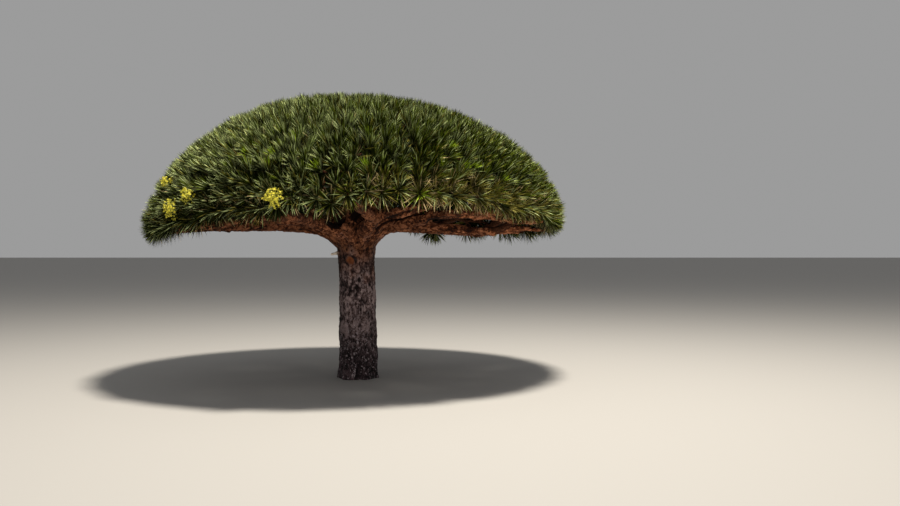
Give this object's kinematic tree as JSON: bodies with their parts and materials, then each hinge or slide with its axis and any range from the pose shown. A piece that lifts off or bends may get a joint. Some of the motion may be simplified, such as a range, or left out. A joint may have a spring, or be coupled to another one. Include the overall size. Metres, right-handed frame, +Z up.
{
  "type": "dragon blood tree",
  "caption": "Dragon blood tree with a stout trunk, forking boughs and a dense flat-bottomed umbrella crown of sword-leaved rosettes, with a few yellow flower panicles on one side.",
  "frame": {"origin": "middle of the flat cut under the trunk, at ground level", "axes": "+Z is up along the trunk; -Y is the side that the picture shows, with +X to its right"},
  "size_m": [7.0046, 7.0125, 4.8678],
  "materials": {
    "trunk_bark": "rough, pitted grey-purple brown bark",
    "bough_bark": "flaky rust-brown bark",
    "foliage": "stiff, slightly glossy sword-shaped leaves",
    "dry_leaf": "dry straw-coloured leaves",
    "blossom": "small matt yellow flowers"
  },
  "bodies": {
    "root": {"bough_1": "bough_bark", "bough_2": "bough_bark", "bough_3": "bough_bark", "bough_4": "bough_bark", "bough_5": "bough_bark", "bough_6": "bough_bark", "bough_7": "bough_bark", "high_bough_1": "bough_bark", "high_bough_2": "bough_bark", "high_bough_3": "bough_bark", "high_bough_4": "bough_bark", "rim_limb_1_left": "bough_bark", "rim_limb_1_right": "bough_bark", "rim_limb_2_left": "bough_bark", "rim_limb_2_right": "bough_bark", "rim_limb_3_left": "bough_bark", "rim_limb_3_right": "bough_bark", "rim_limb_4_left": "bough_bark", "rim_limb_4_right": "bough_bark", "rim_limb_5_left": "bough_bark", "rim_limb_5_right": "bough_bark", "rim_limb_6_left": "bough_bark", "rim_limb_6_right": "bough_bark", "rim_limb_7_left": "bough_bark", "rim_limb_7_right": "bough_bark", "rim_mass_1_left": "foliage", "rim_mass_1_right": "foliage", "rim_mass_2_left": "foliage", "rim_mass_2_right": "foliage", "rim_mass_3_left": "foliage", "rim_mass_3_right": "foliage", "rim_mass_4_left": "foliage", "rim_mass_4_right": "foliage", "rim_mass_5_left": "foliage", "rim_mass_5_right": "foliage", "rim_mass_6_left": "foliage", "rim_mass_6_right": "foliage", "rim_mass_7_left": "foliage", "rim_mass_7_right": "foliage", "shoulder_limb_1": "bough_bark", "shoulder_limb_2": "bough_bark", "shoulder_limb_3": "bough_bark", "shoulder_limb_4": "bough_bark", "shoulder_limb_5": "bough_bark", "shoulder_limb_6": "bough_bark", "shoulder_limb_7": "bough_bark", "shoulder_mass_1": "foliage", "shoulder_mass_2": "foliage", "shoulder_mass_3": "foliage", "shoulder_mass_4": "foliage", "shoulder_mass_5": "foliage", "shoulder_mass_6": "foliage", "shoulder_mass_7": "foliage", "top_mass_1": "foliage", "top_mass_2": "foliage", "top_mass_3": "foliage", "top_mass_4": "foliage", "trunk": "trunk_bark"}
  },
  "joints": []
}
